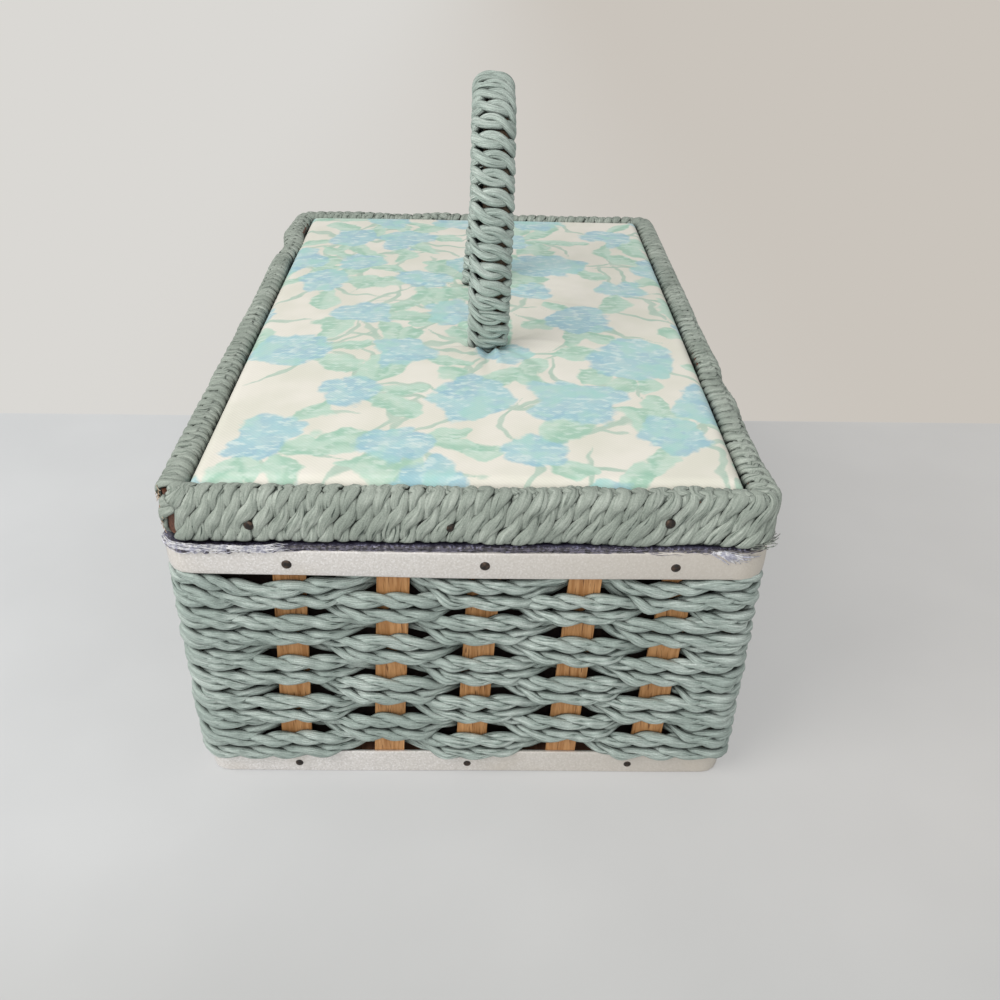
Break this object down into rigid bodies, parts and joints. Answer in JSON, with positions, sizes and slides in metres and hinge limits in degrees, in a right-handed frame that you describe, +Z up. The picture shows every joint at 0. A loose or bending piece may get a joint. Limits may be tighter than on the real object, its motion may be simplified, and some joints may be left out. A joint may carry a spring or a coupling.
{
  "type": "sewing basket",
  "caption": "Rectangular woven sewing basket with a padded hinged lid, an upright bound handle, a lift-out tray and a loop-and-knob catch.",
  "frame": {"origin": "on the table, under the middle of the woven body", "axes": "+Z up, +Y along the long side, -X to the lid's hinges and +X to its catch"},
  "size_m": [0.2134, 0.3018, 0.2257],
  "materials": {
    "wood": "satin",
    "frame_wood": "matte",
    "vinyl": "satin",
    "card": "matte",
    "paper_cord": "matte",
    "rim_cord": "matte",
    "satin": "satin",
    "print": "matte",
    "tray_plastic": "gloss",
    "steel": "satin",
    "knob_plastic": "gloss"
  },
  "bodies": {
    "basket": {"bottom_board": "frame_wood", "bottom_band": "vinyl", "top_band": "vinyl", "top_hoop": "frame_wood", "side_cards": "card", "end_cards": "card", "end_stakes": "wood", "side_stakes": "wood", "corner_posts": "frame_wood", "lining_walls": "satin", "lining_floor": "satin", "lining_edge": "satin", "tray_ledges": "frame_wood", "hinge_body_leaves": "steel", "hinge_pins": "steel", "closure_knob": "knob_plastic", "weaver_row_1": "paper_cord", "weaver_row_2": "paper_cord", "weaver_row_3": "paper_cord", "weaver_row_4": "paper_cord", "weaver_row_5": "paper_cord", "weaver_row_6": "paper_cord", "weaver_row_7": "paper_cord", "weaver_row_8": "paper_cord", "weaver_row_9": "paper_cord"},
    "lid": {"lid_frame": "frame_wood", "lid_wrap": "rim_cord", "lid_panel": "frame_wood", "lid_pad": "print", "lid_lining": "satin", "handle_core": "frame_wood", "handle_wrap": "rim_cord", "handle_screws": "steel", "hinge_lid_leaves": "steel", "catch_plate": "steel"},
    "tray": {"tray": "tray_plastic"},
    "catch": {"catch_loop": "steel"}
  },
  "joints": [
    {"name": "lid_hinge", "type": "hinge", "parent": "basket", "child": "lid", "pos_m": [-0.1016, 0, 0.10625], "axis": [0, -1, 0], "range_deg": [0, 105]},
    {"name": "catch_swing", "type": "hinge", "parent": "lid", "child": "catch", "pos_m": [0.1029, 0, 0.1114], "axis": [0, -1, 0], "range_deg": [-21.5, 95]},
    {"name": "tray_lift", "type": "slide", "parent": "basket", "child": "tray", "axis": [0, 0, 1], "range_m": [0, 0.01]}
  ]
}
